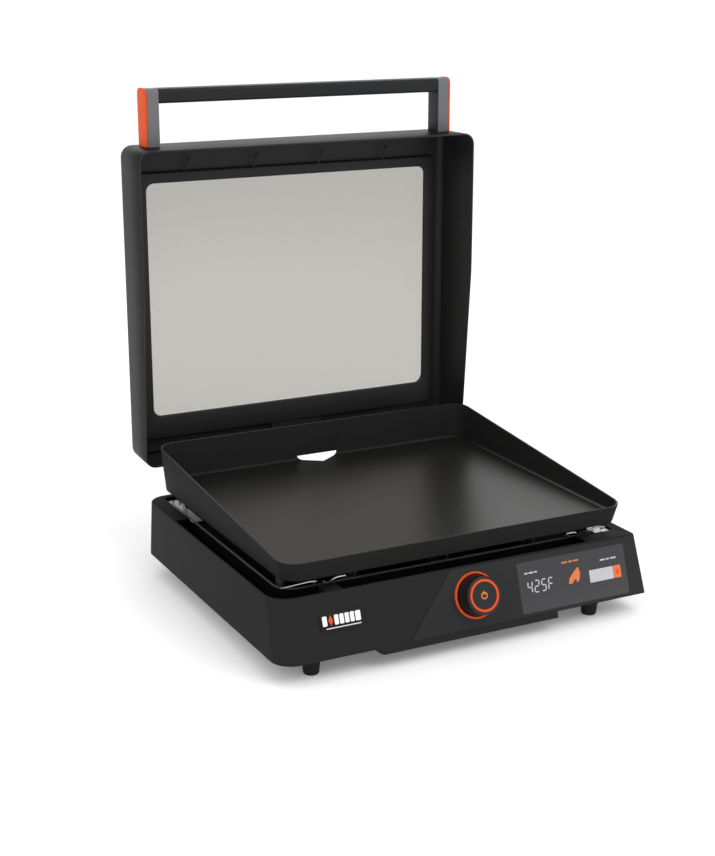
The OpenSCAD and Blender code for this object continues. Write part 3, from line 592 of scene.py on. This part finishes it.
def griddle_plate():
    """The cast pan: a skirt, flared walls, a rounded lip, a filleted floor and the drain cut at the rear."""
    skirt, wall, fillet, lip = 4 * MM, 3.2 * MM, 5 * MM, 1.6 * MM
    edge = 1.2 * MM
    rings = [plate_ring(skirt, FLOOR_TOP - 4 * MM)]
    rings += [plate_ring(skirt - edge * (1 - math.cos(t)), edge * (1 - math.sin(t))) for t in quarter()]
    rings += [plate_ring(edge * (1 - math.sin(t)), edge * (1 - math.cos(t))) for t in quarter()]
    rings.append(plate_ring(0, below=lip))
    rings += [plate_ring(lip * (1 - math.cos(2 * t)), below=lip * (1 - math.sin(2 * t)))
              for t in quarter()[1:]]
    rings.append(plate_ring(wall, FLOOR_TOP + fillet))
    rings += [plate_ring(wall + fillet * (1 - math.cos(t)), FLOOR_TOP + fillet * (1 - math.sin(t)))
              for t in quarter()[1:]]
    pan = loft("cooking_plate", rings, smooth=60)
    tip = PLATE_HI.y - 29 * MM
    half = 36 * MM
    wide, rear = PLATE_HI.y - 4 * MM, PLATE_HI.y + 10 * MM
    shape = [(0, tip), (half, wide), (half, rear), (-half, rear), (-half, wide)]
    drain = prism("drain", shape, 16.5 * MM, Matrix.Translation((0, 0, PLATE_LO.z - 1 * MM)))
    combine(pan, drain)
    pan.data.shade_smooth()
    pan.data.set_sharp_from_angle(angle=math.radians(60))
    wear(pan, NONSTICK, "nonstick", "cooking_plate", "griddle_plate")
    pan.data.materials.append(PLATE_WALL)
    for face in pan.data.polygons:
        if face.center.z < PLATE_LO.z + FLOOR_TOP - 0.5 * MM or abs(face.normal.z) < 0.7:
            face.material_index = 1
    return pan


# ---------------------------------------------------------------- hood
def hood_depth(z):
    """Depth of the hood's side wall at a height, shallower towards the hinge."""
    share = min(1.0, max(0.0, (HOOD_KINK - z) / (HOOD_KINK - HOOD_LO.z)))
    return HOOD_DEEP + (HOOD_SHALLOW - HOOD_DEEP) * share


def hood_ring(inset, out=None, share=None, back=0.0, draft=3 * MM, r=16 * MM):
    """A ring round the hood, at a fixed distance from its outer face or a share of the wall's depth."""
    def depth(z):
        return out if share is None else share * (hood_depth(z) - back)
    far = 0.0 if share is None else share
    lean = draft * (1 - (far if share is not None else out / HOOD_DEEP))
    d = inset + lean
    corner = max(r - inset * 0.5, 6 * MM)
    ring = outline(HOOD_LO.x + d, HOOD_HI.x - d, HOOD_LO.z + inset, HOOD_HI.z - inset, corner, side=24)
    return [(x, HOOD_HI.y - depth(z), z) for x, z in ring]


def hood_shell():
    """The pressed hood: a soft-edged face, drafted walls, a rolled rim and the window's hole."""
    edge, hem = 9 * MM, 2.6 * MM
    rings = []
    for k in range(7):
        t = math.radians(15 * k)
        rings.append(hood_ring(edge * (1 - math.sin(t)), edge * (1 - math.cos(t))))
    rings += [hood_ring(0, share=0.5), hood_ring(0, share=1, back=1.3 * MM)]
    for k in range(1, 4):
        t = math.radians(45 * k)
        rings.append(hood_ring(hem / 2 * (1 - math.cos(t)), share=1, back=1.3 * MM * (1 - math.sin(t))))
    rings += [hood_ring(hem, share=1, back=2 * MM), hood_ring(hem, share=1, back=7 * MM)]
    rings += [hood_ring(SHEET, share=1, back=8 * MM), hood_ring(SHEET, share=0.5)]
    for k in range(7):
        t = math.radians(15 * k)
        rings.append(hood_ring(SHEET + edge * (1 - math.cos(t)), SHEET + edge * (1 - math.sin(t))))
    shell = loft("hood_body", rings, smooth=40)
    hole = window_outline(2 * MM)
    ends = (HOOD_HI.y + PAST, HOOD_HI.y - 6 * MM)
    combine(shell, loft("hole", [[(x, y, z) for x, z in hole] for y in ends]))
    shell.data.shade_smooth()
    shell.data.set_sharp_from_angle(angle=math.radians(40))
    wear(shell, HOOD, "black_steel", "hood", "hood_shell")
    shell.data.materials.append(LINER_AND_PAINTED_LIGHT)
    middle = (HOOD_LO + HOOD_HI) / 2
    # Inner faces of the hood take the lighter copy: painted light on the inside of the same sheet.
    for face in shell.data.polygons:
        out = (face.center - middle) * Vector((1, 0, 1))
        if face.normal.y < -0.3 or face.normal.dot(out) < 0:
            face.material_index = 1


def window_outline(grow, r=12 * MM):
    """The window's rounded outline, grown on every side."""
    return outline(-WINDOW_W / 2 - grow, WINDOW_W / 2 + grow, WINDOW_Z - WINDOW_H / 2 - grow,
                   WINDOW_Z + WINDOW_H / 2 + grow, r + grow)


def window_frame():
    """The inner frame: a dished sheet whose outer rim meets the hood and whose inner lip meets the glass."""
    face = RETAINER_HI.y - 7.0 * MM
    lip = 2.0 * MM

    def outer(inset):
        return outline(RETAINER_LO.x + inset, RETAINER_HI.x - inset, RETAINER_LO.z + inset,
                       FRAME_TOP - inset, 9 * MM)
    rings = [[(x, RETAINER_HI.y, z) for x, z in outer(0)]]
    for k in range(5):
        t = math.radians(22.5 * k)
        rings.append([(x, face + lip * (1 - math.sin(t)), z) for x, z in outer(lip * (1 - math.cos(t)))])
    for k in range(5):
        t = math.radians(22.5 * k)
        grow = lip * (1 - math.sin(t))
        rings.append([(x, face + lip * (1 - math.cos(t)), z) for x, z in window_outline(grow)])
    rings.append([(x, GLASS_LO.y - 0.1 * MM, z) for x, z in window_outline(0)])
    sheet = loft("window_frame", rings, cap_first=False, cap_last=False, smooth=40)
    thick = sheet.modifiers.new("thickness", "SOLIDIFY")
    thick.thickness = 1.0 * MM
    thick.offset = 0
    bake(sheet)
    wear(sheet, LINER_AND_PAINTED_LIGHT, "black_steel", "hood", "window_retainer")
    hooks = []
    for k in range(4):
        x, z = (-161 + 103 * k) * MM, FRAME_TOP - 2 * MM
        path = [(x - 1 * MM, face, z), (x - 0.5 * MM, face - 2 * MM, z + 7 * MM),
                (x + 1.5 * MM, face - 2.8 * MM, z + 15 * MM), (x + 5 * MM, face - 1.5 * MM, z + 22 * MM)]
        hooks.append(tube("hook", path, 2.2 * MM))
    wear(join("frame_hooks", hooks), KNOB, "black_steel", "hood")
    plugs = []
    for x, drop in ((-223, 17), (236.5, 62)):
        spot = Matrix.Translation((x * MM, HOOD_HI.y - SHEET, HOOD_HI.z - drop * MM))
        spot = spot @ Matrix.Rotation(math.pi / 2, 4, "X")
        profile = [(0, -0.2 * MM), (3.4 * MM, -0.2 * MM), (3.4 * MM, 1.2 * MM), (2.4 * MM, 1.8 * MM),
                   (0, 1.4 * MM)]
        plugs.append(lathe("plug", profile, spot, 24))
    wear(join("hood_plugs", plugs), SHADE, "rubber", "hood")


# ---------------------------------------------------------------- handle
def side_profile(name, x0, x1, points, width, steps=3):
    """A profile in Y and Z, run along X, with rounded ends."""
    rings = [[(x, y, z) for y, z in points] for x in (x0, x1)]
    return soften(loft(name, rings), width, steps)


def handle():
    """The bar, its two posts and their end caps."""
    y0, y1 = BAR_LO.y, BAR_HI.y
    section = outline(y0, y1, BAR_LO.z, BAR_HI.z, 4.5 * MM)
    bar = side_profile("grip_bar", BAR_LO.x, BAR_HI.x, section, 0.3 * MM)
    wear(bar, BAR, "black_steel", "hood", "handle_bar")
    for side in ("left", "right"):
        lo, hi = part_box("handle_post_" + side)
        shape = outline(lo.y, hi.y, lo.z, hi.z, [1 * MM, 1 * MM, 5 * MM, 5 * MM])
        post = side_profile("grip_post_" + side, lo.x, hi.x, shape, 0.8 * MM)
        wear(post, GREY, "post_grey", "hood", "handle_post_" + side)
        post.data.materials.append(BAR)
        for face in post.data.polygons:
            if face.normal.x * face.center.x < -0.9 * abs(face.center.x):
                face.material_index = 1
        lo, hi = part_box("handle_cap_" + side)
        shape = outline(lo.y, hi.y, lo.z, hi.z, [2 * MM, 2 * MM, 8 * MM, 8 * MM])
        cap = side_profile("grip_cap_" + side, lo.x, hi.x, shape, 1.1 * MM, 4)
        wear(cap, ORANGE, "orange", "hood", "handle_cap_" + side)


# ---------------------------------------------------------------- small parts
def tray_rim():
    """The tray's rolled edge, which shows as a thin line beside the trough."""
    def ring(grow, z, r=24 * MM):
        shape = outline(TRAY_LO.x - grow, TRAY_HI.x + grow, TRAY_LO.y - grow, TRAY_HI.y + grow, r + grow)
        return [(x, y, z) for x, y in shape]
    z = TRAY_HI.z + 0.2 * MM
    wire, steps = 1.4 * MM, 8
    rings = []
    for k in range(steps + 1):
        t = math.tau * k / steps
        rings.append(ring(wire * math.cos(t) + 0.4 * MM, z + wire * math.sin(t)))
    rim = loft("tray_rim", rings, cap_first=False, cap_last=False)
    slot_half = 36 * MM
    combine(rim, block("gap", (-slot_half, TRAY_HI.y - PAST, z - PAST),
                       (slot_half, TRAY_HI.y + PAST, z + PAST)))
    # The rolled edge takes the lighter copy: painted light on the tray's edge line.
    wear(rim, TRAY_EDGE_LIT, "aluminised", "base")


WIRE = 2.4 * MM


def spring_clips():
    """Bent wires that hook over the tray's edge and centre the plate."""
    z = TRAY_HI.z + 1 * MM
    front, rear = TRAY_LO.y, TRAY_HI.y - 38 * MM
    corner_wire = [(233, 0, 2), (230, -12, 8), (216, -24, 15), (204, -26, 16), (196, -22, 13), (194, -8, 4)]
    front_wire = [(177, 0, 2), (177, -14, 5), (177, -23, 11), (174, -26, 15), (160, -26, 16)]
    rear_wire = [(222, 0, -8), (222, 0, 6), (217, 0, 11), (204, -2, 12), (190, -6, 11)]
    wires = []
    for side in (-1, 1):
        for path, start in ((corner_wire, front), (front_wire, front), (rear_wire, rear)):
            points = [(side * x * MM, start + y * MM, z + up * MM) for x, y, up in path]
            wires.append(tube("wire", points, WIRE))
    wear(join("wire_clips", wires), STEEL, "steel", "base", "spring_clips")


def grease_cup():
    """A drawn cup with rounded corners and a flange to hang by."""
    lo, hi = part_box("grease_cup")
    flange, t = 5 * MM, 1.2 * MM

    def ring(inset, z):
        shape = outline(lo.x + flange + inset, hi.x - flange - inset, lo.y + inset, hi.y - 8 * MM - inset,
                        max(8 * MM - inset, 2 * MM))
        return [(x, y, z) for x, y in shape]
    wide = outline(lo.x, hi.x, lo.y, hi.y, 9 * MM)
    rings = [ring(5 * MM, lo.z), ring(1.5 * MM, lo.z + 1.5 * MM), ring(0, lo.z + 5 * MM), ring(0, hi.z - t),
             [(x, y, hi.z - t) for x, y in wide], [(x, y, hi.z) for x, y in wide], ring(t, hi.z),
             ring(t, lo.z + 5 * MM), ring(t + 2 * MM, lo.z + t + 1 * MM), ring(t + 5 * MM, lo.z + t)]
    cup = loft("drip_cup", rings, smooth=40)
    return wear(cup, STEEL, "steel", "cup", "grease_cup")


def carried_over():
    """CAD nodes whose shape is right and that need only their finish."""
    repaint(ALUMINISED, "corner_shields")
    # The reflector tray takes painted shade instead of its own metal.
    repaint(TRAY_PAINTED_SHADE, "reflector_tray")
    repaint(STEEL, "element_brackets", "plate_supports", "encoder_body", "encoder_shaft", "foot_screws",
            "cover_screws", "hinge_pin_left", "hinge_pin_right", "grease_chute")
    repaint(DARK_STEEL, "bracket_screws", "leaf_screws", "retainer_screws", "handle_screws", "bottom_cover",
            "cup_rails", "hinge_bracket_left", "hinge_bracket_right", "hinge_leaf_left", "hinge_leaf_right")
    repaint(SHEATH, "heating_element")
    repaint(RUBBER, "foot_front_left", "foot_front_right", "foot_rear_left", "foot_rear_right",
            "window_gasket", "hood_bumpers")
    repaint(CERAMIC, "element_terminals", "thermal_cutout", "encoder_plunger")
    repaint(BRASS, "temperature_probe")
    repaint(BOARD, "display_module", "control_board", "power_board")
    repaint(KNOB, "power_inlet")
    repaint(LINER_AND_PAINTED_LIGHT, "hood_end_rail")
    repaint(GLASS, "window_glass")


# ---------------------------------------------------------------- stage
def area_light(name, place, target, size, power):
    """A rectangular lamp aimed at a point."""
    lamp = bpy.data.lights.new(name, "AREA")
    lamp.shape = "RECTANGLE"
    lamp.size, lamp.size_y = size
    lamp.energy = power
    obj = bpy.data.objects.new(name, lamp)
    obj.location = place
    obj.rotation_euler = (Vector(target) - Vector(place)).to_track_quat("-Z", "Y").to_euler()
    bpy.context.scene.collection.objects.link(obj)


def stage():
    """A pale floor, a white world and three lamps."""
    floor = bpy.data.meshes.new("floor")
    s = 12.0
    floor.from_pydata([(-s, -s, 0), (s, -s, 0), (s, s, 0), (-s, s, 0)], [], [(0, 1, 2, 3)])
    obj = bpy.data.objects.new("floor", floor)
    bpy.context.scene.collection.objects.link(obj)
    pale = material("pale_floor", (0.93, 0.93, 0.93), 0.9, vary=0.0, specular=0.1)
    shader = pale.node_tree.nodes["Principled BSDF"]
    shader.inputs["Emission Color"].default_value = (1, 1, 1, 1)
    shader.inputs["Emission Strength"].default_value = 0.12
    floor.materials.append(pale)
    world = bpy.data.worlds.new("studio")
    bpy.context.scene.world = world
    world.use_nodes = True
    world.node_tree.nodes["Background"].inputs["Color"].default_value = (1, 1, 1, 1)
    world.node_tree.nodes["Background"].inputs["Strength"].default_value = 1.0
    bpy.context.scene.view_settings.view_transform = "Standard"
    centre = (0, 0, 0.25)
    area_light("key", (0.6, -2.0, 2.4), centre, (1.6, 1.6), 24)
    area_light("fill", (-2.0, -0.6, 1.4), centre, (1.4, 1.4), 2.5)
    area_light("back", (0.3, 2.2, 2.0), centre, (2.0, 1.0), 10)


def camera():
    """Looks at the object from its left front, a little above."""
    azimuth, elevation = math.radians(-27.24), math.radians(16.23)
    back = Vector((math.sin(azimuth) * math.cos(elevation), -math.cos(azimuth) * math.cos(elevation),
                   math.sin(elevation)))
    data = bpy.data.cameras.new("camera")
    data.lens = 67.98
    data.clip_end = 50
    obj = bpy.data.objects.new("camera", data)
    obj.location = (-0.98029, FRONT_Y - 1.58929, BASE_LO.z + 0.80309)
    obj.rotation_euler = back.to_track_quat("Z", "Y").to_euler()
    bpy.context.scene.collection.objects.link(obj)
    bpy.context.scene.camera = obj


camera()
stage()
base_shell()
fascia()
display()
digits()
flame()
gauge()
dashes("label_left", 84 * MM, 54.5 * MM, (5, 7, 4), WHITE_MARK, "badge_white")
dashes("label_middle", 141 * MM, 59 * MM, (9, 6, 8), ORANGE_MARK, "orange")
dashes("label_right", 200 * MM, 53 * MM, (8, 5, 9), WHITE_MARK, "badge_white")
badge()
knob()
knob_marks()
griddle_plate()
hood_shell()
window_frame()
handle()
tray_rim()
spring_clips()
grease_cup()
carried_over()
